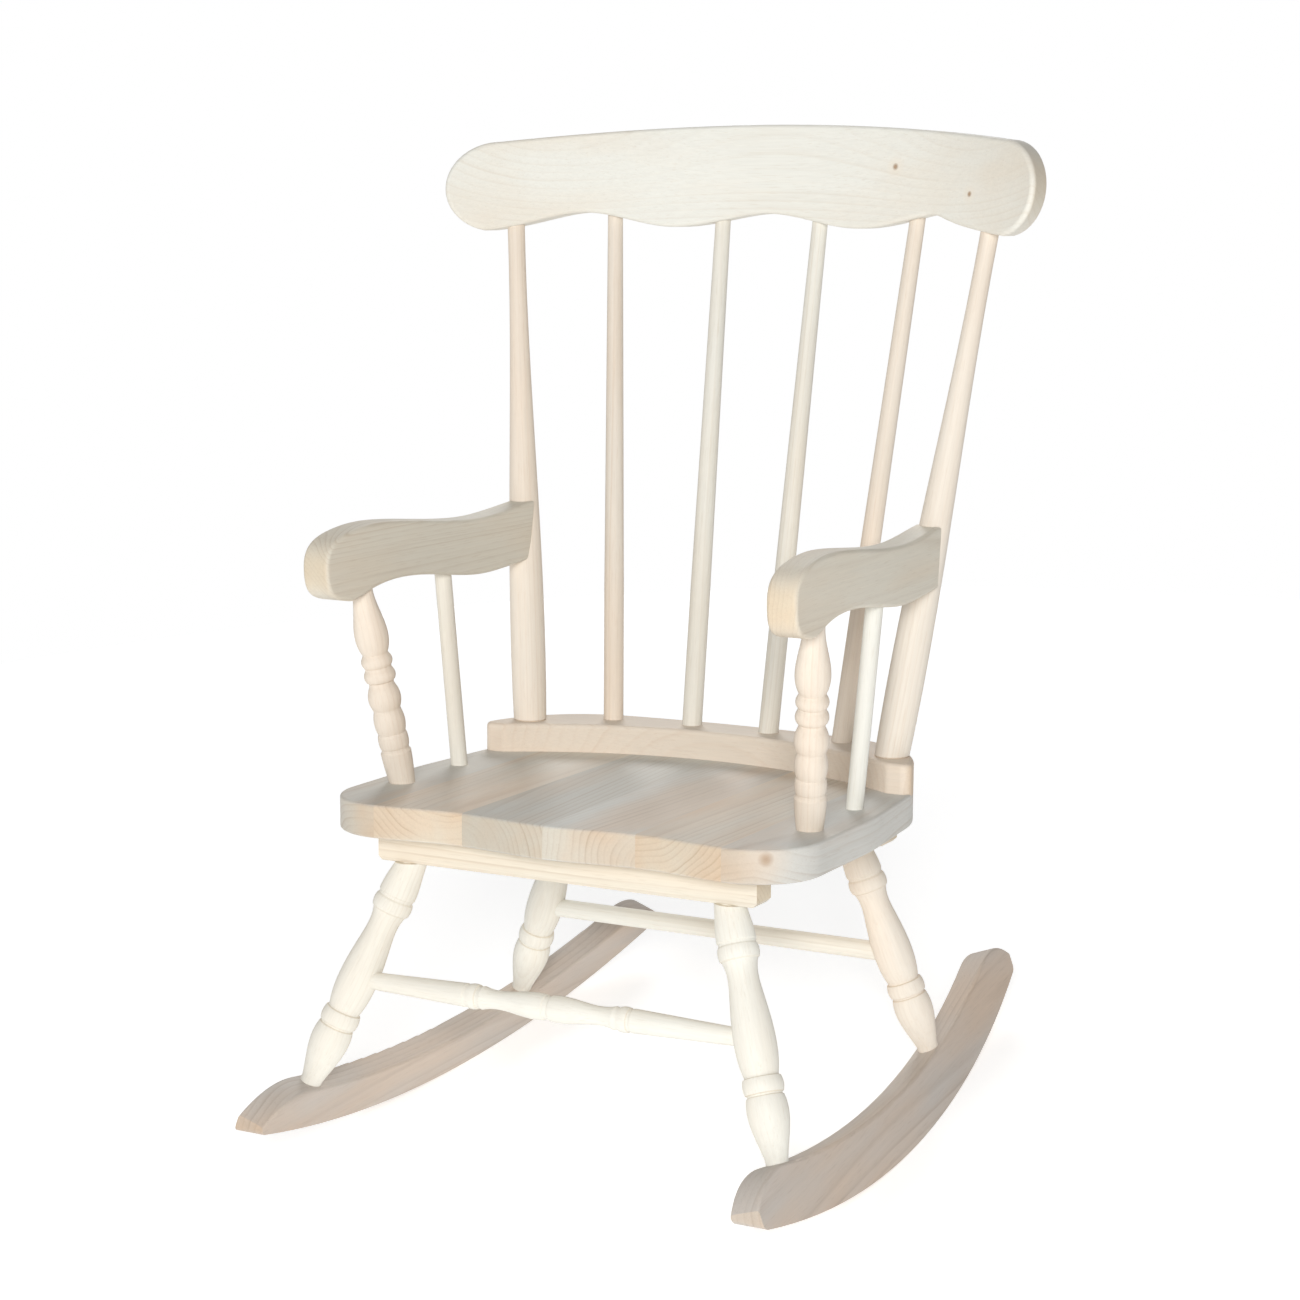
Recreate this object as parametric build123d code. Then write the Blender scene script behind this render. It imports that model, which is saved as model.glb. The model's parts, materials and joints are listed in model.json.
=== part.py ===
from build123d import *
import os
from math import atan2, cos, degrees, hypot, sqrt

# Child's spindle-back rocking chair in solid wood, millimetres.
# It is laid out in the seat's own frame: +X is one side of the chair, -Y its front, +Z up, and the
# origin lies on the seat's top, midway between the two arm spindles. The last step leans the
# whole chair back to the attitude in which it comes to rest and stands it on z = 0.

# Seat board, glued up from staves that run front to back
SEAT_THICK = 22.0
SEAT_HALF_WIDTH = 171.5
SEAT_WAIST_Y = -20.0            # the sides run parallel up to here, then draw in to the back
SEAT_BACK_HALF_WIDTH = 157.0
SEAT_BACK_CORNER_Y = 118.0
SEAT_BACK_Y = 135.0
SEAT_FRONT_Y = -143.0
FRONT_SCOOP = 6.5               # how far the front edge waves in at each thigh
FRONT_SCOOP_X = 67.0
FRONT_CREST_X = 122.0
FRONT_CORNER_RADIUS = 44.0
WAIST_RADIUS = 300.0
BACK_CORNER_RADIUS = 88.0
STAVE_JOINTS = (-125.0, -62.5, 0.0, 62.5, 125.0)
SEAT_EASE = 1.8                 # radius of its rounded top and bottom edges

# Curved riser along the back of the seat, let into its top
RISER_TOP = 20.0                # it is as thick as the seat, so its underside lies 2 mm down
RISER_FRONT_RADIUS = 270.0
RISER_FRONT_Y = 98.5
RISER_END_Y = 55.0
RISER_END_RADIUS = 6.0
RISER_EASE = 3.0
HOUSING_CLEARANCE = 0.1         # the housing in the seat is this much longer than the riser in front

# Back posts and spindles: foot on the riser's top, run per mm of height, diameters, depth in socket
POST_FOOT = (139.7, 81.0)
POST_RUN = (0.119, 0.148)
POST_FOOT_DIAMETER = 23.0
POST_BELLY_DIAMETER = 24.5
POST_TOP_DIAMETER = 13.0
POST_TENON_DIAMETER = 15.0
POST_BELLY_HEIGHT = 42.0
POST_WAIST = (0.45, 20.0)       # share of the length, diameter
POST_EASE = 0.8                 # the foot's bevelled rim
POST_IN_CREST = 12.0
INNER_SPINDLES = (((-89.0, 112.1), (-0.078, 0.143)), ((-29.9, 119.5), (-0.022, 0.163)),
                  ((29.9, 119.5), (0.022, 0.163)), ((89.0, 112.1), (0.078, 0.143)))
SPINDLE_FOOT_DIAMETER = 14.0
SPINDLE_TOP_DIAMETER = 10.5
SPINDLE_TAPER_FROM = 0.25       # share of the length
RISER_SOCKET_DEPTH = 16.0
CREST_SOCKET_DEPTH = 22.0

# Crest rail: a board bent to an arc, hollow towards the sitter
CREST_THICK = 20.0
CREST_RADIUS = 385.0            # of the arc through the board's middle
CREST_BACK_Y = 190.0            # where that arc crosses x = 0, at the height below
CREST_REFERENCE_Z = 440.0
CREST_LEAN = 0.155
CREST_TOP_Z = 438.0
CREST_SHOULDER = (192.0, 426.0)
CREST_END = (222.5, 395.0)
CREST_EAR = (197.0, 363.5)
CREST_LOBE = (76.0, 367.0)      # the low points of the lower edge
CREST_ARCH = (131.0, 376.5)     # its high points; one more lies in the middle at the same height
CREST_EASE = 2.5

# Arms: flat boards on edge from the back post to the front, over the arm post and arm spindle
ARM_THICK = 20.0
ARM_HEIGHT_AT_POST = 152.0
ARM_NOSE_Y = -148.0
ARM_END_GAP = 5.0               # the coped end stops this far in front of the post's axis
ARM_EASE = 2.5
ARM_POST_FOOT = (150.0, -70.4)
ARM_POST_RUN = (0.100, -0.203)
ARM_POST_TOP_Z = 131.0
ARM_TENON_DIAMETER = 12.0
ARM_TENON_LENGTH = 16.0
ARM_TENON_ROOT = 20.0           # how far the tenon's stock runs down inside the post
ARM_POST_SPARE = 8.0            # the post's blank runs on into the arm by this much, to be coped
ARM_SPINDLE_FOOT = (148.9, 0.0)
ARM_SPINDLE_RUN = (0.090, -0.007)
ARM_SPINDLE_DIAMETER = 11.5
ARM_SPINDLE_TOP_Z = 145.0       # inside the arm
SEAT_SOCKET_DEPTH = 15.0

# Cleats under the seat that the legs are bored into
CLEAT_HALF_LENGTH = 137.5
CLEAT_WIDTH = 20.0
CLEAT_HEIGHT = 20.0
CLEAT_CHAMFER = 3.0
CLEAT_EASE = 1.2
FRONT_CLEAT_Y = -109.0
REAR_CLEAT_Y = 87.5

# Legs: where the axis crosses the level LEG_LEVEL, and its run per mm of drop
LEG_LEVEL = -45.0
FRONT_LEG_POINT = (116.6, -113.0)
FRONT_LEG_RUN = (0.372, -0.280)
REAR_LEG_POINT = (109.6, 88.6)
REAR_LEG_RUN = (0.366, 0.112)
LEG_TENON_DIAMETER = 13.0
LEG_TENON_RISE = 30.0           # through the cleat and into the seat
LEG_DROP = 140.0                # from the shoulder to about where the leg meets the rocker
LEG_PATTERN = 161.0             # length that the turning below is drawn for
LEG_SPARE = (-8.0, 19.0)        # the blank's start above the shoulder: distance, diameter
LEG_FOOT_DIAMETER = 14.4
LEG_FOOT_DEPTH = 18.0           # in the rocker

# Stretchers
STRETCHER_Z = -119.5
STRETCHER_END_GAP = 3.0         # the stretchers stop this far short of the legs' axes
STRETCHER_NECK = (0.8, 12.6)    # the front one's taper: share of its half length, diameter
REAR_STRETCHER_DIAMETER = 13.0

# Rockers: boards in the plane of the legs on their side, ground to one arc underneath
ROCKER_THICK = 20.0
ROCKER_HEIGHT = 32.0
ROCKER_ARC_RADIUS = 830.0
ROCKER_ARC_Y = -34.5
ROCKER_ARC_Z = 603.0
ROCKER_FRONT_Y = -212.0
ROCKER_REAR_Y = 272.0
ROCKER_NOSE = 49.0              # length over which the top rounds down to the tip
ROCKER_TIP = 7.0                # height of the blunt tip
ROCKER_TOE_RADIUS = 5.0         # where the tip turns under into the sole
ROCKER_EASE = 2.0
ROCKER_BLANK_DEPTH = 70.4       # of the waste left under the board, before the sole is cut

# Fasteners
SCREW_DIAMETER = 4.0
SCREW_HEAD_DIAMETER = 8.0
SCREW_HEAD_HEIGHT = 3.0
SCREW_TIP = 6.0
SCREW_TIP_DIAMETER = 0.8
ARM_SCREW_LENGTH = 48.0
COUNTERBORE_DIAMETER = 9.5
COUNTERBORE_SEAT = 4.0          # its floor, behind the post's axis
CLEAT_SCREW_LENGTH = 32.0
CLEAT_SCREW_X = (-85.0, -31.0, 31.0, 85.0)
RISER_SCREW_LENGTH = 34.0
RISER_SCREW_PLACES = ((-112.0, 106.0), (-55.0, 112.0), (55.0, 112.0), (112.0, 106.0))
WOOD_DENSITY = 0.65             # relative weights, for the balance of the chair
STEEL_DENSITY = 7.8
REACH = 1000.0                  # longer than the chair in any direction, for cutting bodies
INSIDE = 10.0                   # how far a turned piece and its tenon run into each other


def below(level):
    """A block that fills everything under a level of the seat's frame."""
    return Pos(0, 0, level - REACH / 2) * Box(REACH, REACH, REACH)


def axis_plane(foot, top):
    """A plane at foot whose Z runs to top, for a turned piece."""
    return Plane(origin=foot, z_dir=Vector(*top) - Vector(*foot))


def along(foot, run, level):
    """The point of an axis at a level, from its foot at z = 0 of that axis and its run."""
    return (foot[0] + run[0] * level, foot[1] + run[1] * level)


def turned(plane, stretches):
    """A turned piece. Each stretch is a smooth run of (distance, diameter) points along the axis."""
    first, last = stretches[0][0], stretches[-1][-1]
    edges = [Line((0, first[0]), (first[1] / 2, first[0]))]
    for stretch in stretches:
        points = [(diameter / 2, distance) for distance, diameter in stretch]
        start = edges[-1] @ 1
        if (start - Vector(*points[0])).length > 1e-6:
            edges.append(Line(start, points[0]))
        edges.append(Line(*points) if len(points) == 2 else Spline(*points))
    edges.append(Line((last[1] / 2, last[0]), (0, last[0])))
    edges.append(Line((0, last[0]), (0, first[0])))
    half = make_face([Plane.XZ * edge for edge in edges])
    return plane.location * revolve(half, Axis.Z)


def as_made(piece):
    """A piece on the +X side, where all are made."""
    return piece


def mirrored(piece):
    """A piece on the -X side."""
    return mirror(piece, Plane.YZ)


def upright_edges(solid, y):
    """The vertical edges of a board near a place along the chair."""
    return [edge for edge in solid.edges().filter_by(Axis.Z) if abs(edge.center().Y - y) < 0.5]


def eased(board, radius):
    """A board with the edges of its two largest faces rounded."""
    broad = board.faces().sort_by(SortBy.AREA)[-2:]
    return fillet([edge for face in broad for edge in face.edges()], radius)


def seat_plan(top):
    """The seat's blank, with its waved front edge and rounded corners, down from a level."""
    w, back = SEAT_HALF_WIDTH, SEAT_BACK_HALF_WIDTH
    front = Spline((-w, SEAT_FRONT_Y), (-FRONT_CREST_X, SEAT_FRONT_Y),
                   (-FRONT_SCOOP_X, SEAT_FRONT_Y + FRONT_SCOOP), (0, SEAT_FRONT_Y),
                   (FRONT_SCOOP_X, SEAT_FRONT_Y + FRONT_SCOOP), (FRONT_CREST_X, SEAT_FRONT_Y),
                   (w, SEAT_FRONT_Y), tangents=[(1, 0), (1, 0)])
    side = Polyline((w, SEAT_FRONT_Y), (w, SEAT_WAIST_Y), (back, SEAT_BACK_CORNER_Y))
    rear = ThreePointArc((back, SEAT_BACK_CORNER_Y), (0, SEAT_BACK_Y), (-back, SEAT_BACK_CORNER_Y))
    other = Polyline((-back, SEAT_BACK_CORNER_Y), (-w, SEAT_WAIST_Y), (-w, SEAT_FRONT_Y))
    blank = extrude(Pos(0, 0, top) * make_face(front + side + rear + other), -SEAT_THICK)
    for corner_y, radius in ((SEAT_FRONT_Y, FRONT_CORNER_RADIUS), (SEAT_WAIST_Y, WAIST_RADIUS),
                             (SEAT_BACK_CORNER_Y, BACK_CORNER_RADIUS)):
        blank = fillet(upright_edges(blank, corner_y), radius)
    return blank


def seat_board():
    """The whole seat before it is divided into staves, with its edges eased."""
    blank = seat_plan(0.0)
    levels = blank.edges().group_by(Axis.Z)
    return fillet(levels[0] + levels[-1], SEAT_EASE)


def riser_blank(spare=0.0):
    """The back of the seat's own outline, hollowed by an arc in front; spare lets it run forward."""
    end_y = RISER_END_Y - spare
    centre_y = RISER_FRONT_Y - RISER_FRONT_RADIUS
    hollow = Pos(0, centre_y, 0) * Cylinder(RISER_FRONT_RADIUS - spare, REACH)
    behind = Pos(0, end_y + REACH / 2, 0) * Box(REACH, REACH, REACH)
    block = (seat_plan(RISER_TOP) & behind) - hollow
    return fillet(upright_edges(block, end_y), RISER_END_RADIUS)


def riser_block():
    """The riser, with its top edges rounded."""
    return fillet(riser_blank().edges().group_by(Axis.Z)[-1], RISER_EASE)


def back_post():
    """One outer post: tenon, swelling foot and a long taper up into the crest rail."""
    height = CREST_ARCH[1] - RISER_TOP + POST_IN_CREST
    top_point = along(POST_FOOT, POST_RUN, height)
    plane = axis_plane((*POST_FOOT, RISER_TOP), (*top_point, RISER_TOP + height))
    length = height * hypot(1.0, *POST_RUN)
    body = turned(plane, [[(-INSIDE, POST_FOOT_DIAMETER), (0.0, POST_FOOT_DIAMETER)],
                          [(0.0, POST_FOOT_DIAMETER), (POST_BELLY_HEIGHT, POST_BELLY_DIAMETER),
                           (POST_WAIST[0] * length, POST_WAIST[1]), (length, POST_TOP_DIAMETER)]])
    body -= below(RISER_TOP)
    body = chamfer(body.edges().group_by(Axis.Z)[0], POST_EASE)
    tenon = turned(plane, [[(-RISER_SOCKET_DEPTH, POST_TENON_DIAMETER), (INSIDE, POST_TENON_DIAMETER)]])
    return body + tenon


def back_spindle(foot, run):
    """One inner spindle, a plain taper from the riser to the crest rail."""
    height = CREST_LOBE[1] - RISER_TOP + CREST_SOCKET_DEPTH
    top_point = along(foot, run, height)
    plane = axis_plane((*foot, RISER_TOP), (*top_point, RISER_TOP + height))
    length = height * hypot(1.0, *run)
    taper = SPINDLE_TAPER_FROM * length
    return turned(plane, [[(-RISER_SOCKET_DEPTH, SPINDLE_FOOT_DIAMETER), (taper, SPINDLE_FOOT_DIAMETER)],
                          [(taper, SPINDLE_FOOT_DIAMETER), (length, SPINDLE_TOP_DIAMETER)]])


def crest_rail():
    """The crest: an arc in plan, leaned back, with the face outline cut through it."""
    low, rise = 300.0, 200.0        # the bent board, before it is sawn to its outline
    centre_y = CREST_BACK_Y - CREST_RADIUS - CREST_LEAN * (CREST_REFERENCE_Z - low)
    ring = Circle(CREST_RADIUS + CREST_THICK / 2) - Circle(CREST_RADIUS - CREST_THICK / 2)
    width = 2 * CREST_END[0] + 2 * CREST_THICK
    band = ring & Pos(0, CREST_RADIUS) * Rectangle(width, 2 * CREST_RADIUS)
    bent = extrude(Pos(0, centre_y, low) * band, rise * hypot(1.0, CREST_LEAN), dir=(0, CREST_LEAN, 1))
    ear, arch, lobe, shoulder = CREST_EAR, CREST_ARCH, CREST_LOBE, CREST_SHOULDER
    lower = Spline((-ear[0], ear[1]), (-arch[0], arch[1]), (-lobe[0], lobe[1]), (0, arch[1]),
                   lobe, arch, ear, tangents=[(1, 0.12), (1, -0.12)])
    right = ThreePointArc(ear, CREST_END, shoulder)
    upper = ThreePointArc(shoulder, (0, CREST_TOP_Z), (-shoulder[0], shoulder[1]))
    left = ThreePointArc((-shoulder[0], shoulder[1]), (-CREST_END[0], CREST_END[1]), (-ear[0], ear[1]))
    outline = make_face(Plane.XZ * (lower + right + upper + left))
    rail = bent & extrude(outline, REACH, both=True)
    return fillet(rail.edges(), CREST_EASE)


def arm_ends():
    """The arm's middle line in plan: over the arm post and in the back post's axis."""
    front = along(ARM_POST_FOOT, ARM_POST_RUN, ARM_POST_TOP_Z)
    rear = along(POST_FOOT, POST_RUN, ARM_HEIGHT_AT_POST - RISER_TOP)
    return Vector(*front, 0), Vector(*rear, 0)


def arm_blank():
    """The arm board, sawn to its side outline: a hump and a drooping nose in front."""
    front, rear = arm_ends()
    direction = (rear - front).normalized()
    plane = Plane(origin=rear, x_dir=direction, z_dir=direction.cross(Vector(0, 0, 1)))
    run = (front - rear).length

    def at(y, z):
        return ((y - rear.Y) * run / (rear.Y - front.Y), z)

    def end(z):
        post_y = POST_FOOT[1] + POST_RUN[1] * (z - RISER_TOP)
        return at(post_y - ARM_END_GAP, z)

    upper = Spline(end(174.0), at(35.0, 168.5), at(-70.0, 175.5), at(-122.0, 173.0),
                   at(ARM_NOSE_Y, 152.0), tangents=[(-1, -0.09), (0, -1)])
    nose = Spline(at(ARM_NOSE_Y, 152.0), at(-141.0, 133.0), at(-124.0, 128.0), at(-104.0, 131.0),
                  tangents=[(0, -1), (1, 0.32)])
    under = Spline(at(-104.0, 131.0), at(-66.0, 137.0), at(24.0, 129.3), end(133.0),
                   tangents=[(1, 0.32), (1, 0.08)])
    side = make_face(plane * (upper + nose + under + Line(end(133.0), end(174.0))))
    return eased(extrude(side, ARM_THICK / 2, both=True), ARM_EASE)


def arm_post():
    """The turned post under the front of the arm, with its tenon but uncut shoulder."""
    top = along(ARM_POST_FOOT, ARM_POST_RUN, ARM_POST_TOP_Z)
    plane = axis_plane((*ARM_POST_FOOT, 0.0), (*top, ARM_POST_TOP_Z))
    length = ARM_POST_TOP_Z * hypot(1.0, *ARM_POST_RUN)
    body = turned(plane, [
        [(-SEAT_SOCKET_DEPTH, 17.0), (0.0, 17.0)],
        [(0.0, 17.0), (12.0, 19.6), (22.0, 20.6)],
        [(23.5, 18.6), (25.0, 18.6)],
        [(26.0, 19.6), (30.0, 20.4), (34.0, 19.8)],
        [(35.5, 18.4), (43.0, 21.0), (51.0, 18.4)],
        [(52.5, 18.4), (60.0, 22.0), (68.0, 18.0)],
        [(69.5, 16.8), (71.5, 16.8)],
        [(72.5, 19.4), (75.5, 21.2), (79.0, 19.4)],
        [(80.5, 17.8), (82.0, 17.8)],
        [(83.0, 19.4), (86.0, 21.0), (89.0, 19.0)],
        [(91.0, 16.8), (105.0, 22.4), (120.0, 17.6), (length + ARM_POST_SPARE, 16.4)]])
    tenon = turned(plane, [[(length - ARM_TENON_ROOT, ARM_TENON_DIAMETER),
                            (length + ARM_TENON_LENGTH, ARM_TENON_DIAMETER)]])
    return body, tenon


def arm_spindle():
    """The plain dowel under the middle of the arm."""
    top = along(ARM_SPINDLE_FOOT, ARM_SPINDLE_RUN, ARM_SPINDLE_TOP_Z)
    plane = axis_plane((*ARM_SPINDLE_FOOT, 0.0), (*top, ARM_SPINDLE_TOP_Z))
    length = ARM_SPINDLE_TOP_Z * hypot(1.0, *ARM_SPINDLE_RUN)
    return turned(plane, [[(-SEAT_SOCKET_DEPTH, ARM_SPINDLE_DIAMETER), (length, ARM_SPINDLE_DIAMETER)]])


def cleat(y):
    """A cleat across the underside of the seat, its lower ends chamfered."""
    top = -SEAT_THICK
    bar = Pos(0, y, top - CLEAT_HEIGHT / 2) * Box(2 * CLEAT_HALF_LENGTH, CLEAT_WIDTH, CLEAT_HEIGHT)
    bar = chamfer(bar.edges().filter_by(Axis.Y).group_by(Axis.Z)[0], CLEAT_CHAMFER)
    return fillet(bar.edges().group_by(Axis.Z)[0], CLEAT_EASE)


def leg_axis(point, run, level):
    """A point of a leg's axis at a level of the seat's frame."""
    drop = LEG_LEVEL - level
    return (point[0] + run[0] * drop, point[1] + run[1] * drop, level)


def leg(point, run):
    """One turned leg. The shoulder is cut to the cleat's underside, and the foot sinks into the rocker."""
    shoulder = -SEAT_THICK - CLEAT_HEIGHT
    start = leg_axis(point, run, shoulder)
    plane = axis_plane(start, leg_axis(point, run, shoulder - 100.0))
    slope = hypot(1.0, *run)
    length = slope * (shoulder - rocker_top(start[1] + run[1] * LEG_DROP)[1])
    s = length / LEG_PATTERN
    body = turned(plane, [
        [LEG_SPARE, (0.0, 19.5), (12.0, 23.0), (24.0, 25.0)],
        [(25.0, 23.6), (26.5, 23.6)],
        [(27.5, 25.2), (31.5, 26.4), (35.5, 25.0)],
        [(36.5, 22.6), (44.0, 19.6), (58.0 * s, 21.4), (88.0 * s, 26.4), (106.0 * s, 22.2)],
        [(107.0 * s, 21.6), (108.0 * s, 21.6)],
        [(108.6 * s, 24.0), (113.0 * s, 25.8), (118.0 * s, 24.4)],
        [(118.6 * s, 22.0), (119.6 * s, 22.0)],
        [(120.2 * s, 23.8), (130.0 * s, 26.0), (148.0 * s, 19.4), (158.0 * s, LEG_FOOT_DIAMETER)],
        [(158.0 * s, LEG_FOOT_DIAMETER), (length + LEG_FOOT_DEPTH, LEG_FOOT_DIAMETER)]])
    tenon = turned(plane, [[(-LEG_TENON_RISE * slope, LEG_TENON_DIAMETER), (INSIDE, LEG_TENON_DIAMETER)]])
    return (body & below(shoulder)) + tenon


def turned_stretcher(half):
    """The front stretcher: two long tapers, rings and a double bulb, the same on both sides."""
    side = [[(0.0, 15.0), (1.5, 15.0)],
            [(2.5, 16.6), (12.0, 17.2), (33.0, 12.4), (48.0, 15.2)],
            [(50.0, 14.2), (51.5, 14.2)],
            [(52.0, 15.8), (55.0, 16.6), (58.0, 15.8)],
            [(58.5, 14.2), (60.0, 14.2)],
            [(61.0, 15.6), (STRETCHER_NECK[0] * half, STRETCHER_NECK[1]), (half, 11.0)]]
    other = [[(-distance, diameter) for distance, diameter in reversed(stretch)]
             for stretch in reversed(side)]
    return other + side


def front_stretcher():
    """The turned stretcher between the front legs."""
    x, y, z = leg_axis(FRONT_LEG_POINT, FRONT_LEG_RUN, STRETCHER_Z)
    plane = axis_plane((0, y, z), (x, y, z))
    return turned(plane, turned_stretcher(x - STRETCHER_END_GAP))


def rear_stretcher():
    """The plain dowel between the rear legs."""
    x, y, z = leg_axis(REAR_LEG_POINT, REAR_LEG_RUN, STRETCHER_Z)
    plane = axis_plane((0, y, z), (x, y, z))
    half = x - STRETCHER_END_GAP
    return turned(plane, [[(-half, REAR_STRETCHER_DIAMETER), (half, REAR_STRETCHER_DIAMETER)]])


def rocker_normal():
    """The outward normal of the plane that holds both legs of one side."""
    front = Vector(*FRONT_LEG_RUN, -1.0)
    across = Vector(REAR_LEG_POINT[0] - FRONT_LEG_POINT[0], REAR_LEG_POINT[1] - FRONT_LEG_POINT[1], 0)
    normal = across.cross(front).normalized()
    return normal if normal.X > 0 else -normal


def rocker_top(y):
    """The rocker's upper edge at a place along it, as (y, z)."""
    rise = ROCKER_HEIGHT * cos(atan2(FRONT_LEG_RUN[0], 1.0))
    radius = ROCKER_ARC_RADIUS - rise
    return y, ROCKER_ARC_Z - sqrt(radius ** 2 - (y - ROCKER_ARC_Y) ** 2)


def rocker_sole(y, rise=0.0):
    """A point at a height above the rocker's underside, as (y, z)."""
    return y, ROCKER_ARC_Z - sqrt((ROCKER_ARC_RADIUS - rise) ** 2 - (y - ROCKER_ARC_Y) ** 2)


def rocker_profile():
    """All that lies above the sole and between the two tips, right across the chair."""
    margin = 1.0                    # inside the board's own ends
    front, rear = ROCKER_FRONT_Y + margin, ROCKER_REAR_Y - margin
    sole = ThreePointArc(rocker_sole(front), rocker_sole(ROCKER_ARC_Y), rocker_sole(rear))
    rest = Polyline(rocker_sole(rear), (rear, ROCKER_ARC_Z), (front, ROCKER_ARC_Z), rocker_sole(front))
    face = make_face(Plane.YZ * (sole + rest))
    toes = face.vertices().sort_by(Axis.Z)[:2]
    return extrude(fillet(toes, ROCKER_TOE_RADIUS), REACH / 2, both=True)


def rocker():
    """One rocker: a board in the legs' plane, its underside ground square across the chair."""
    normal = rocker_normal()
    origin = Vector(*FRONT_LEG_POINT, LEG_LEVEL)
    plane = Plane(origin=origin, x_dir=Vector(-normal.Y, normal.X, 0), z_dir=normal)

    def flat(y, z):
        x = origin.X - ((y - origin.Y) * normal.Y + (z - origin.Z) * normal.Z) / normal.X
        spot = plane.to_local_coords(Vector(x, y, z))
        return (spot.X, spot.Y)

    middle = (ROCKER_FRONT_Y + ROCKER_REAR_Y) / 2
    front_nose, rear_nose = ROCKER_FRONT_Y + ROCKER_NOSE, ROCKER_REAR_Y - ROCKER_NOSE
    front, centre, rear = (flat(*rocker_top(y)) for y in (front_nose, middle, rear_nose))
    front_tip, rear_tip = (flat(*rocker_sole(y, ROCKER_TIP)) for y in (ROCKER_FRONT_Y, ROCKER_REAR_Y))
    top_edge = ThreePointArc(front, centre, rear)
    noses = TangentArc(rear, rear_tip, tangent=top_edge % 1) + TangentArc(
        front, front_tip, tangent=-(top_edge % 0))
    deep = centre[1] - ROCKER_BLANK_DEPTH
    waste = Polyline(rear_tip, (rear_tip[0], deep), (front_tip[0], deep), front_tip)
    board = extrude(plane * make_face(top_edge + noses + waste), ROCKER_THICK / 2, both=True)
    return fillet(board.edges().filter_by(GeomType.CIRCLE), ROCKER_EASE) & rocker_profile()


def screw(point, direction, length):
    """A countersunk wood screw: the head's face at point, the shank along direction."""
    on_axis = (Align.CENTER, Align.CENTER, Align.MIN)
    shank_radius = SCREW_DIAMETER / 2
    shank_length = length - SCREW_HEAD_HEIGHT - SCREW_TIP
    head = Cone(SCREW_HEAD_DIAMETER / 2, shank_radius, SCREW_HEAD_HEIGHT, align=on_axis)
    shank = Pos(0, 0, SCREW_HEAD_HEIGHT) * Cylinder(shank_radius, shank_length, align=on_axis)
    tip = Cone(shank_radius, SCREW_TIP_DIAMETER / 2, SCREW_TIP, align=on_axis)
    whole = head + shank + Pos(0, 0, length - SCREW_TIP) * tip
    return Plane(origin=point, z_dir=direction).location * whole


def arm_screw_and_bore():
    """The screw from the back of the post into the arm, and the counterbore it sits in."""
    front, rear = arm_ends()
    back = (rear - front).normalized()
    seat = rear + Vector(0, 0, ARM_HEIGHT_AT_POST) + back * COUNTERBORE_SEAT
    bore = Cylinder(COUNTERBORE_DIAMETER / 2, POST_BELLY_DIAMETER,
                    align=(Align.CENTER, Align.CENTER, Align.MIN))
    return screw(seat, -back, ARM_SCREW_LENGTH), Plane(origin=seat, z_dir=back).location * bore


def side_pieces(stretchers, place):
    """The pieces of the side that place puts them on, each cut to what it meets, and the arm's screw."""
    post, arm, dowel, runner = (place(make()) for make in (back_post, arm_blank, arm_spindle, rocker))
    body, tenon = (place(piece) for piece in arm_post())
    front_post = (body - arm) + tenon
    arm_screw, bore = (place(piece) for piece in arm_screw_and_bore())
    legs = {"front": place(leg(FRONT_LEG_POINT, FRONT_LEG_RUN)),
            "rear": place(leg(REAR_LEG_POINT, REAR_LEG_RUN))}
    pieces = {
        "back_post": post - bore - arm_screw,
        "arm": arm - post - front_post - dowel - arm_screw,
        "arm_post": front_post,
        "arm_spindle": dowel,
        "rocker": runner - legs["front"] - legs["rear"],
    }
    for end, one_leg in legs.items():
        pieces[f"leg_{end}"] = one_leg - stretchers[f"{end}_stretcher"]
    return pieces, arm_screw


def screws_up(places, level, length):
    """Screws driven straight up at a level, at each of the places in plan."""
    return [screw(Vector(x, y, level), Vector(0, 0, 1), length) for x, y in places]


def cut(host, guests):
    """A host without the space that its guests take."""
    for guest in guests:
        host = host - guest
    return host


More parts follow.
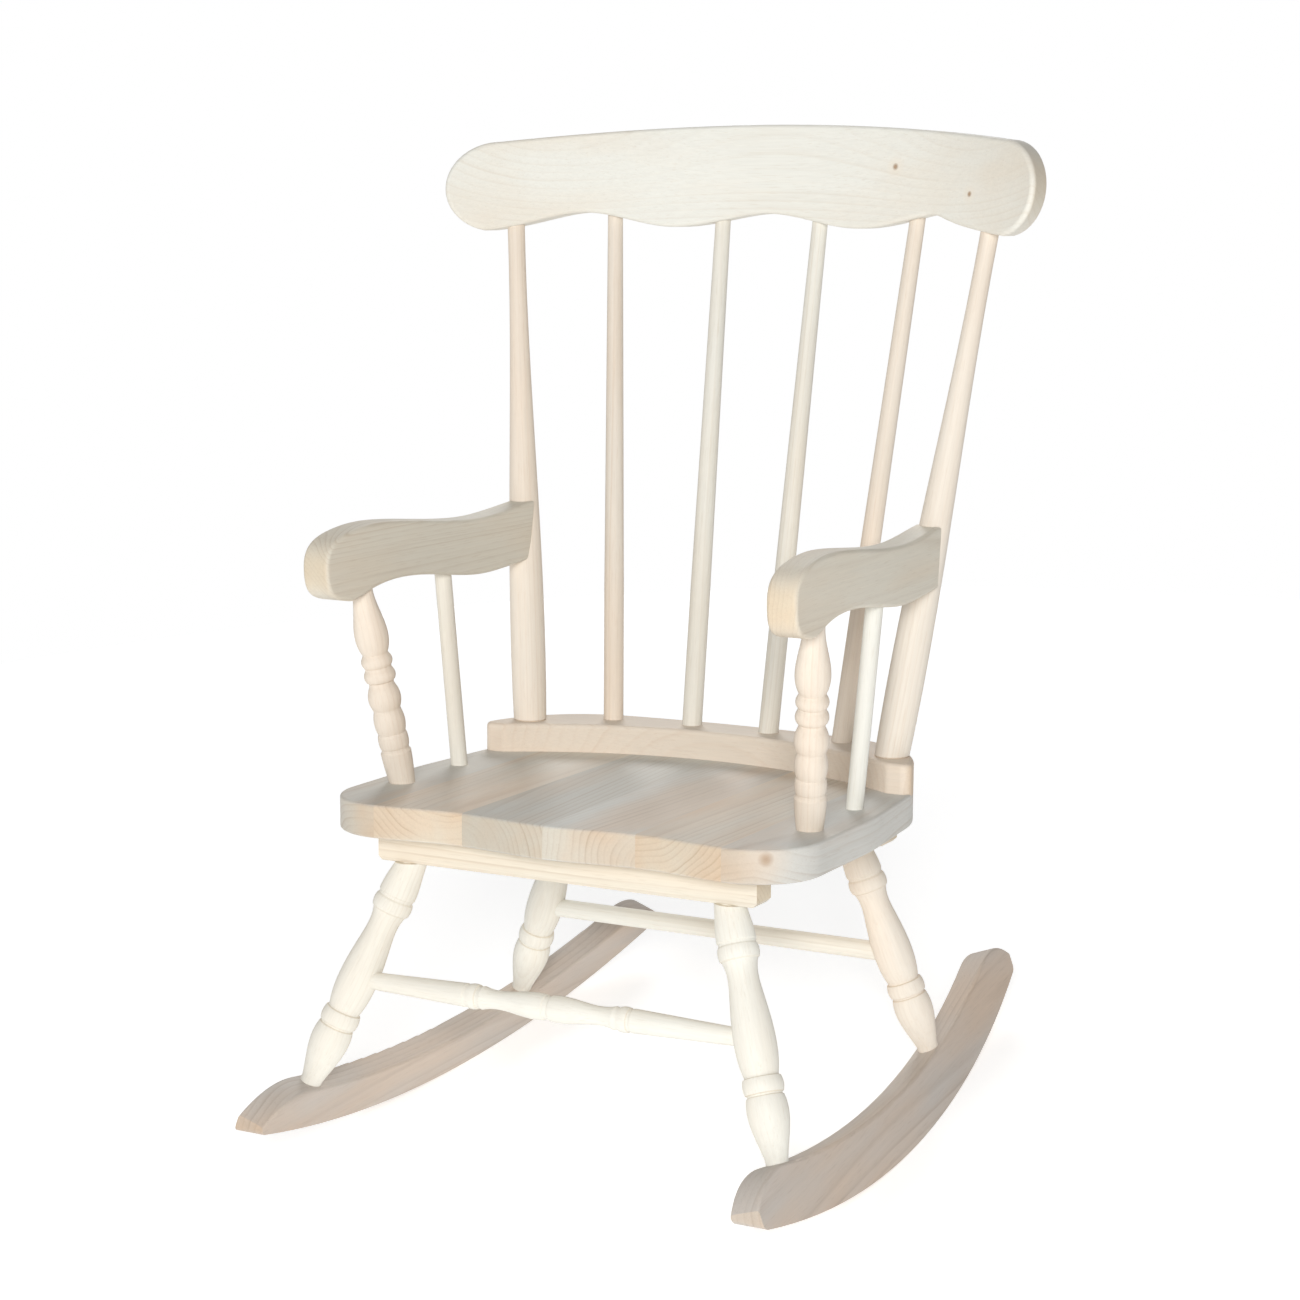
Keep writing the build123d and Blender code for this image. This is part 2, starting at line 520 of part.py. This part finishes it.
def build_chair():
    """All the pieces by name, in the seat's frame. The sitter's left is +X."""
    cleat_places = [(x, y) for y in (FRONT_CLEAT_Y, REAR_CLEAT_Y) for x in CLEAT_SCREW_X]
    cleat_screws = screws_up(cleat_places, -SEAT_THICK - CLEAT_HEIGHT, CLEAT_SCREW_LENGTH)
    riser_screws = screws_up(RISER_SCREW_PLACES, -SEAT_THICK, RISER_SCREW_LENGTH)
    stretchers = {"front_stretcher": front_stretcher(), "rear_stretcher": rear_stretcher()}
    spindles = [back_spindle(foot, run) for foot, run in INNER_SPINDLES]

    pieces, arm_screws = {}, []
    for side, place in (("left", as_made), ("right", mirrored)):
        own, arm_screw = side_pieces(stretchers, place)
        pieces.update({f"{name}_{side}": piece for name, piece in own.items()})
        arm_screws.append(arm_screw)
    for number, spindle in enumerate(spindles, start=1):
        pieces[f"back_spindle_{number}"] = spindle

    def both(*names):
        return [pieces[f"{name}_{side}"] for name in names for side in ("left", "right")]

    posts = both("back_post")
    riser = riser_block()
    for end, y in (("front", FRONT_CLEAT_Y), ("rear", REAR_CLEAT_Y)):
        pieces[f"{end}_cleat"] = cut(cleat(y), both(f"leg_{end}") + cleat_screws)
    housing = riser_blank(HOUSING_CLEARANCE)
    seat = cut(seat_board(), [housing] + both("arm_post", "arm_spindle", "leg_front", "leg_rear"))
    seat = cut(seat, cleat_screws + riser_screws)
    pieces["back_riser"] = cut(riser, posts + spindles + riser_screws)
    pieces["crest_rail"] = cut(crest_rail(), posts + spindles)
    pieces.update(stretchers)

    edges = (-SEAT_HALF_WIDTH - 1.0, *STAVE_JOINTS, SEAT_HALF_WIDTH + 1.0)
    for number, (low, high) in enumerate(zip(edges, edges[1:]), start=1):
        strip = Pos((low + high) / 2, 0, 0) * Box(high - low, REACH, REACH)
        pieces[f"seat_stave_{number}"] = seat & strip
    screws = {"arm_screws": arm_screws, "cleat_screws": cleat_screws, "riser_screws": riser_screws}
    return pieces, screws


def at_rest(pieces, screws):
    """The lean and shift that put the chair's weight over the rockers' contact, on z = 0."""
    weighed = [(solid, WOOD_DENSITY) for solid in pieces.values()]
    weighed += [(solid, STEEL_DENSITY) for group in screws.values() for solid in group]
    mass = sum(solid.volume * density for solid, density in weighed)
    moments = (solid.center(CenterOf.MASS) * (solid.volume * density) for solid, density in weighed)
    centre = sum(moments, Vector()) / mass
    lean = degrees(atan2(centre.Y - ROCKER_ARC_Y, ROCKER_ARC_Z - centre.Z))
    turn = Rot(-lean, 0, 0)
    box = Compound(children=[turn * solid for solid in pieces.values()]).bounding_box()
    return Pos(0, -(box.min.Y + box.max.Y) / 2, -box.min.Z) * turn


def write(pieces, screws):
    """One STEP file for each piece, and one for each set of screws."""
    os.makedirs("parts", exist_ok=True)
    resting = at_rest(pieces, screws)
    for name, solid in pieces.items():
        export_step(resting * solid, f"parts/{name}.step")
    for name, group in screws.items():
        export_step(Compound(children=[resting * solid for solid in group]), f"parts/{name}.step")


write(*build_chair())
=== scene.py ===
import json
import math

import bmesh
import bpy
import numpy as np
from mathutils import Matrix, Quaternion, Vector

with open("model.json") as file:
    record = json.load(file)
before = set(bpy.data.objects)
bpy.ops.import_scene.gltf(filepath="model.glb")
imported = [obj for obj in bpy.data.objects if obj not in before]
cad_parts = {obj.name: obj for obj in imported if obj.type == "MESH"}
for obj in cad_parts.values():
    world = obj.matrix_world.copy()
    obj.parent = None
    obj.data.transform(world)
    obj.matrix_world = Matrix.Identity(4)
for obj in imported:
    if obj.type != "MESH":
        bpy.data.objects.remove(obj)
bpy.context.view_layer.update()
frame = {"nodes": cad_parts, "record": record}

# Child's rocking chair in bare pale wood. The shapes are the CAD's own; this script gives each
# piece its wood, with the grain along the piece, and sets the camera, floor and lights.

MILLIMETRE = 0.001

# Camera: seen from in front and to the sitter's left, a little above
CAMERA_AZIMUTH = 28.6
CAMERA_ELEVATION = 14.5
CAMERA_ROLL = 2.8
CAMERA_DISTANCE = 1.91
CAMERA_LENS = 80.0
AIM_HEIGHT = 0.318

# Studio: a round floor that glows a little, and a white surround
FLOOR_RADIUS = 1.5
FLOOR_SEGMENTS = 128
FLOOR_TONE = 0.88
FLOOR_GLOW = 0.42
SURROUND_LIGHT = 0.30
SURROUND_SEEN = 1.0

# Area lights: name, place and width in metres, power in watts. All look at the chair's middle.
LIGHTS = (("key", (1.2, -2.5, 1.3), 0.8, 60.0),
          ("fill", (-2.2, -1.6, 0.9), 1.6, 10.0),
          ("back", (-1.2, 2.6, 1.5), 1.0, 28.0))
LIGHTS_AIM = (0.0, 0.0, 0.35)

# Woods: (pale colour, dark colour of the late wood, warm colour of the drifting patches)
IVORY = ((0.86, 0.85, 0.78), (0.66, 0.56, 0.43), (0.84, 0.75, 0.62))
BLUSH = ((0.86, 0.79, 0.69), (0.70, 0.53, 0.38), (0.86, 0.70, 0.55))
ROSE = ((0.85, 0.75, 0.63), (0.68, 0.50, 0.36), (0.84, 0.67, 0.52))
SAND = ((0.80, 0.75, 0.64), (0.52, 0.40, 0.28), (0.80, 0.66, 0.50))
STRAW = ((0.70, 0.69, 0.64), (0.46, 0.36, 0.27), (0.72, 0.58, 0.45))
STONE = ((0.62, 0.57, 0.52), (0.38, 0.29, 0.22), (0.70, 0.54, 0.41))

SLOT_WOODS = {
    "seat_wood": STRAW,
    "riser_wood": ROSE,
    "crest_wood": IVORY,
    "arm_wood": SAND,
    "rocker_wood": STONE,
    "cleat_wood": SAND,
    "spindle_wood": IVORY,
    "turned_wood": IVORY,
}
# How strongly each slot's wood is figured, how much its colour drifts, and its rings' width in mm
FIGURE = {"seat_wood": 1.5, "riser_wood": 1.2, "crest_wood": 0.8, "arm_wood": 1.5,
          "rocker_wood": 1.3, "cleat_wood": 1.3, "spindle_wood": 0.9, "turned_wood": 0.8}
DRIFT = {"seat_wood": 1.0, "riser_wood": 0.7, "rocker_wood": 1.0, "arm_wood": 0.8}
RING_GAP = {"crest_wood": 5.0, "arm_wood": 2.6, "seat_wood": 4.2, "rocker_wood": 4.6}
DRIFT_ELSEWHERE = 0.3
RING_GAP_ELSEWHERE = 3.4

# Seat staves from different planks, from the sitter's right: a factor for red, green and blue
STAVE_TONES = ((1.02, 0.99, 0.96), (1.06, 1.02, 0.97), (0.96, 0.96, 0.95), (1.00, 1.01, 1.02),
               (1.05, 1.00, 0.94), (0.97, 0.97, 0.98))

# How the pieces' woods are told apart
HEART_OFFSET = 0.05             # from a piece's middle to its rings' centre, in metres
HEART_TURN = 2.4                # radians from one piece's heart to the next one's
SEED_STEP = 0.37                # how far apart along the grain two pieces read the noises

# What the wood's shader mixes. Lengths are in metres, noise scales are per metre.
PORE_STRENGTH = 0.22
RING_STRENGTH = 0.42
RING_WANDER = 0.014             # how far slow waves push the rings about
RING_RIPPLE = 0.0012            # and fine ones
WANDER_SCALE = 14.0
RIPPLE_SCALE = 90.0
PORE_SCALE = 1500.0
FIBRE_SCALE = 620.0
PATCH_SCALE = 20.0
SHADE_SCALE = 9.0
FADE_SCALE = 26.0
BUMP_STRENGTH = 0.22
BUMP_DEPTH = 0.0003
END_GRAIN = (0.93, 0.87, 0.79)
KNOT_EYE = (0.36, 0.22, 0.12)

# Knots: points in metres on the surface of a piece, each with a radius
KNOTS = {
    "seat_stave_6": (((0.150, -0.143, 0.236), 0.006),),
    "crest_rail": (((0.100, 0.1968, 0.615), 0.0028), ((0.165, 0.1675, 0.600), 0.0024)),
}

# Sticks turned from a warmer plank than their neighbours
WARM_STICKS = ("back_post_left", "back_post_right", "back_spindle_1", "back_spindle_4",
               "arm_post_left", "arm_post_right", "leg_rear_left")


class Graph:
    """A material's node tree, with short calls to add and join nodes."""

    def __init__(self, material):
        material.use_nodes = True
        self.tree = material.node_tree
        self.tree.nodes.clear()

    def add(self, kind, inputs=None, **settings):
        """A node with its settings. An input is a constant, or the socket that feeds it."""
        node = self.tree.nodes.new(kind)
        for name, value in settings.items():
            setattr(node, name, value)
        for name, value in (inputs or {}).items():
            if isinstance(value, bpy.types.NodeSocket):
                self.tree.links.new(value, node.inputs[name])
            else:
                node.inputs[name].default_value = value
        return node

    def math(self, operation, a, b=0.0, c=0.0):
        """A number worked out from up to three sockets or constants."""
        node = self.tree.nodes.new("ShaderNodeMath")
        node.operation = operation
        for place, value in enumerate((a, b, c)):
            if isinstance(value, bpy.types.NodeSocket):
                self.tree.links.new(value, node.inputs[place])
            else:
                node.inputs[place].default_value = value
        return node.outputs[0]

    def vector_math(self, operation, a, b):
        """A vector worked out from two sockets or constants."""
        return self.add("ShaderNodeVectorMath", {0: a, 1: b}, operation=operation).outputs[0]

    def noise(self, vector, scale, detail=2.0, roughness=0.5):
        """A smooth noise from 0 to 1."""
        node = self.add("ShaderNodeTexNoise", {
            "Vector": vector, "Scale": scale, "Detail": detail, "Roughness": roughness})
        return node.outputs["Fac"]

    def stretched(self, vector, along):
        """The same point with its run along the grain shortened, so a noise draws out lengthwise."""
        return self.vector_math("MULTIPLY", vector, (1.0, 1.0, along))

    def ramp(self, value, stops):
        """A smooth 0 to 1 curve through (position, value) stops."""
        node = self.add("ShaderNodeValToRGB", {"Fac": value})
        ramp = node.color_ramp
        while len(ramp.elements) < len(stops):
            ramp.elements.new(0.5)
        for element, (place, level) in zip(ramp.elements, stops):
            element.position = place
            element.color = (level, level, level, 1.0)
        return node.outputs["Color"]

    def mix(self, factor, a, b, blend="MIX"):
        """Colour b laid over colour a by a factor."""
        node = self.add("ShaderNodeMix", data_type="RGBA", blend_type=blend)
        for socket, value in ((node.inputs[0], factor), (node.inputs[6], a), (node.inputs[7], b)):
            if isinstance(value, bpy.types.NodeSocket):
                self.tree.links.new(value, socket)
            elif socket == node.inputs[0]:
                socket.default_value = value
            else:
                socket.default_value = (*value, 1.0)
        return node.outputs[2]


def piece_axis(node):
    """The direction of a piece's length, and its middle, from its own mesh."""
    mesh = frame["nodes"][node].data
    points = np.zeros(len(mesh.vertices) * 3)
    mesh.vertices.foreach_get("co", points)
    points = points.reshape(-1, 3)
    middle = (points.min(0) + points.max(0)) / 2
    spread = np.cov((points - points.mean(0)).T)
    _, vectors = np.linalg.eigh(spread)
    axis = Vector(vectors[:, -1])
    nearly_level = 1e-6
    return (axis if axis.z > -nearly_level else -axis), Vector(middle)


def wood(name, colours, axis, middle, heart, seed, ring_gap, figure, drift, knots):
    """Bare sanded wood as a solid texture: rings round a heart line, fine pores and drifting colour.

    heart is where the heart line passes, across the grain from the piece's middle, in metres.
    figure is the strength of the rings, drift that of the warm and grey patches.
    knots are points on the piece, each with a radius.
    """
    pale, late, warm = colours
    material = bpy.data.materials.new(name)
    graph = Graph(material)
    place = graph.add("ShaderNodeTexCoord").outputs["Object"]
    turn = axis.to_track_quat("Z", "Y").inverted()
    centred = graph.vector_math("SUBTRACT", place, tuple(middle))
    mapping = graph.add("ShaderNodeMapping", {"Vector": centred, "Rotation": turn.to_euler()},
                        vector_type="POINT")
    local = graph.vector_math("ADD", mapping.outputs[0], (*heart, SEED_STEP * seed))

    # Rings: distance from the heart line, waved by a slow noise drawn out along the grain
    wander = graph.noise(graph.stretched(local, 0.10), WANDER_SCALE)
    ripple = graph.noise(graph.stretched(local, 0.05), RIPPLE_SCALE)
    flat = graph.vector_math("MULTIPLY", local, (1.0, 1.0, 0.0))
    radius = graph.add("ShaderNodeVectorMath", {0: flat}, operation="LENGTH").outputs["Value"]
    radius = graph.math("MULTIPLY_ADD", wander, RING_WANDER * figure, radius)
    radius = graph.math("MULTIPLY_ADD", ripple, RING_RIPPLE, radius)
    rings = graph.math("FRACT", graph.math("DIVIDE", radius, ring_gap * MILLIMETRE))
    band = graph.ramp(rings, ((0.0, 0.10), (0.62, 0.32), (0.86, 1.0), (1.0, 0.10)))

    # Each ring has its own strength
    outward = graph.add("ShaderNodeCombineXYZ", {"X": radius}).outputs[0]
    strength = graph.noise(outward, 160.0, detail=1.0)
    strength = graph.ramp(strength, ((0.30, 0.15), (0.70, 1.0)))
    grain = graph.math("MULTIPLY", band, strength)

    # Pores: short dark flecks, and a finer fibre under them
    pores = graph.noise(graph.stretched(local, 0.045), PORE_SCALE, detail=1.0)
    pores = graph.ramp(pores, ((0.60, 0.0), (0.74, 1.0)))
    fibre = graph.noise(graph.stretched(local, 0.03), FIBRE_SCALE, detail=3.0, roughness=0.6)

    # Patches: slow drifts of warmer and of darker wood
    patch = graph.noise(graph.stretched(local, 0.22), PATCH_SCALE, detail=3.0)
    patch = graph.ramp(patch, ((0.40, 0.0), (0.68, 1.0)))
    shade = graph.noise(graph.stretched(local, 0.30), SHADE_SCALE)
    shade = graph.ramp(shade, ((0.35, 0.0), (0.70, 1.0)))

    # The rings come and go along and across the piece
    fade = graph.noise(graph.stretched(local, 0.16), FADE_SCALE)
    grain = graph.math("MULTIPLY", grain, graph.ramp(fade, ((0.38, 0.25), (0.62, 1.0))))

    # Colour: pale wood, then warm patches, rings, pores, fibre and shade laid over it
    colour = graph.mix(graph.math("MULTIPLY", patch, 0.45 + 0.35 * drift), pale, warm)
    colour = graph.mix(graph.math("MULTIPLY", grain, RING_STRENGTH * figure), colour, late)
    colour = graph.mix(graph.math("MULTIPLY", pores, PORE_STRENGTH), colour, late)
    fibre_tone = graph.ramp(fibre, ((0.25, 0.93), (0.75, 1.0)))
    colour = graph.mix(1.0, colour, fibre_tone, "MULTIPLY")
    shade_tone = graph.ramp(shade, ((0.0, 0.96 - 0.10 * drift), (1.0, 1.0)))
    colour = graph.mix(1.0, colour, shade_tone, "MULTIPLY")

    # End grain drinks light: darker where the surface is cut across the fibres
    normal = graph.add("ShaderNodeNewGeometry").outputs["Normal"]
    facing = graph.add("ShaderNodeVectorMath", {0: normal, 1: tuple(axis)}, operation="DOT_PRODUCT")
    end = graph.math("POWER", graph.math("ABSOLUTE", facing.outputs["Value"]), 4.0)
    end_colour = graph.mix(1.0, colour, END_GRAIN, "MULTIPLY")
    colour = graph.mix(end, colour, end_colour)

    # Knots: a small brown eye with a soft halo
    for point, size in knots:
        away = graph.add("ShaderNodeVectorMath", {0: place, 1: tuple(point)}, operation="DISTANCE")
        spot = graph.math("DIVIDE", away.outputs["Value"], size)
        halo = graph.ramp(graph.math("MULTIPLY", spot, 0.33), ((0.0, 0.55), (1.0, 0.0)))
        eye = graph.ramp(spot, ((0.35, 0.85), (1.0, 0.0)))
        colour = graph.mix(halo, colour, warm)
        colour = graph.mix(eye, colour, KNOT_EYE)

    rough = graph.math("MULTIPLY_ADD", fibre, 0.14, 0.52)
    rough = graph.math("MULTIPLY_ADD", end, 0.10, rough)
    height = graph.math("MULTIPLY_ADD", pores, -0.6, fibre)
    height = graph.math("MULTIPLY_ADD", grain, -0.35, height)
    bump = graph.add("ShaderNodeBump", {
        "Height": height, "Strength": BUMP_STRENGTH, "Distance": BUMP_DEPTH})
    shader = graph.add("ShaderNodeBsdfPrincipled", {
        "Base Color": colour, "Roughness": rough, "Normal": bump.outputs["Normal"],
        "Specular IOR Level": 0.32})
    graph.add("ShaderNodeOutputMaterial", {"Surface": shader.outputs["BSDF"]})
    return material


def zinc():
    """Bright zinc plate, faintly mottled."""
    material = bpy.data.materials.new("zinc")
    graph = Graph(material)
    place = graph.add("ShaderNodeTexCoord").outputs["Object"]
    mottle = graph.noise(place, 900.0, detail=3.0)
    colour = graph.mix(mottle, (0.60, 0.61, 0.62), (0.76, 0.75, 0.70))
    rough = graph.math("MULTIPLY_ADD", mottle, 0.2, 0.28)
    bump = graph.add("ShaderNodeBump", {"Height": mottle, "Strength": 0.1, "Distance": 0.0001})
    shader = graph.add("ShaderNodeBsdfPrincipled", {
        "Base Color": colour, "Metallic": 1.0, "Roughness": rough, "Normal": bump.outputs["Normal"]})
    graph.add("ShaderNodeOutputMaterial", {"Surface": shader.outputs["BSDF"]})
    return material


def dress(node, material):
    """Puts one material on every slot of a CAD node."""
    slots = frame["nodes"][node].data.materials
    slots.clear()
    slots.append(material)


def dress_all():
    """Gives each piece its own wood, or zinc, by the slot that the record states for it."""
    slots = {part["node"]: part["material_slot"] for part in frame["record"]["subparts"]}
    steel = zinc()
    for number, node in enumerate(sorted(frame["nodes"])):
        if slots[node] == "zinc_steel":
            dress(node, steel)
            continue
        axis, middle = piece_axis(node)
        colours = BLUSH if node in WARM_STICKS else SLOT_WOODS[slots[node]]
        if node.startswith("seat_stave"):
            tone = STAVE_TONES[int(node[-1]) - 1]
            colours = tuple(tuple(a * b for a, b in zip(colour, tone)) for colour in colours)
        angle = HEART_TURN * number
        heart = (HEART_OFFSET * math.cos(angle), HEART_OFFSET * math.sin(angle))
        slot = slots[node]
        dress(node, wood(node + "_wood", colours, axis, middle, heart, number + 1,
                         ring_gap=RING_GAP.get(slot, RING_GAP_ELSEWHERE), figure=FIGURE[slot],
                         drift=DRIFT.get(slot, DRIFT_ELSEWHERE), knots=KNOTS.get(node, ())))


def floor_material():
    """Matt white that gives off a little light of its own, so it meets the white surround."""
    material = bpy.data.materials.new("floor")
    graph = Graph(material)
    shader = graph.add("ShaderNodeBsdfPrincipled", {
        "Base Color": (FLOOR_TONE, FLOOR_TONE, FLOOR_TONE, 1.0), "Roughness": 0.7,
        "Specular IOR Level": 0.1,
        "Emission Color": (1.0, 1.0, 1.0, 1.0), "Emission Strength": FLOOR_GLOW})
    graph.add("ShaderNodeOutputMaterial", {"Surface": shader.outputs["BSDF"]})
    return material


def make_floor():
    """A round pale floor that melts into the white surround."""
    mesh = bpy.data.meshes.new("floor")
    disc = bmesh.new()
    bmesh.ops.create_circle(disc, cap_ends=True, segments=FLOOR_SEGMENTS, radius=FLOOR_RADIUS)
    disc.to_mesh(mesh)
    disc.free()
    mesh.materials.append(floor_material())
    floor = bpy.data.objects.new("floor", mesh)
    bpy.context.scene.collection.objects.link(floor)


def area_light(name, place, width, power):
    """A square white lamp turned to the chair's middle."""
    data = bpy.data.lights.new(name, "AREA")
    data.shape = "SQUARE"
    data.size = width
    data.energy = power
    light = bpy.data.objects.new(name, data)
    light.location = place
    towards = Vector(LIGHTS_AIM) - Vector(place)
    light.rotation_euler = towards.to_track_quat("-Z", "Y").to_euler()
    bpy.context.scene.collection.objects.link(light)


def make_world():
    """A white surround: bright where it is seen, and softer as a light on the chair."""
    world = bpy.data.worlds.new("studio")
    world.use_nodes = True
    tree = world.node_tree
    background = tree.nodes["Background"]
    background.inputs["Color"].default_value = (1.0, 1.0, 1.0, 1.0)
    ray = tree.nodes.new("ShaderNodeLightPath").outputs["Is Camera Ray"]
    strength = tree.nodes.new("ShaderNodeMapRange")
    strength.inputs["To Min"].default_value = SURROUND_LIGHT
    strength.inputs["To Max"].default_value = SURROUND_SEEN
    tree.links.new(ray, strength.inputs["Value"])
    tree.links.new(strength.outputs["Result"], background.inputs["Strength"])
    bpy.context.scene.world = world


def make_lights():
    """Soft white studio light: a frontal key, a weaker light from behind and a fill."""
    make_world()
    for light in LIGHTS:
        area_light(*light)


def make_camera():
    """The camera, turned about its own line of sight by the roll."""
    azimuth, elevation = math.radians(CAMERA_AZIMUTH), math.radians(CAMERA_ELEVATION)
    level = math.cos(elevation)
    back = Vector((math.sin(azimuth) * level, -math.cos(azimuth) * level, math.sin(elevation)))
    aim = Vector((0, 0, AIM_HEIGHT))
    data = bpy.data.cameras.new("camera")
    data.lens = CAMERA_LENS
    camera = bpy.data.objects.new("camera", data)
    camera.location = aim + CAMERA_DISTANCE * back
    look = (-back).to_track_quat("-Z", "Y")
    camera.rotation_mode = "QUATERNION"
    camera.rotation_quaternion = look @ Quaternion((0, 0, 1), -math.radians(CAMERA_ROLL))
    bpy.context.scene.collection.objects.link(camera)
    bpy.context.scene.camera = camera


bpy.context.scene.view_settings.view_transform = "Standard"
dress_all()
make_floor()
make_lights()
make_camera()
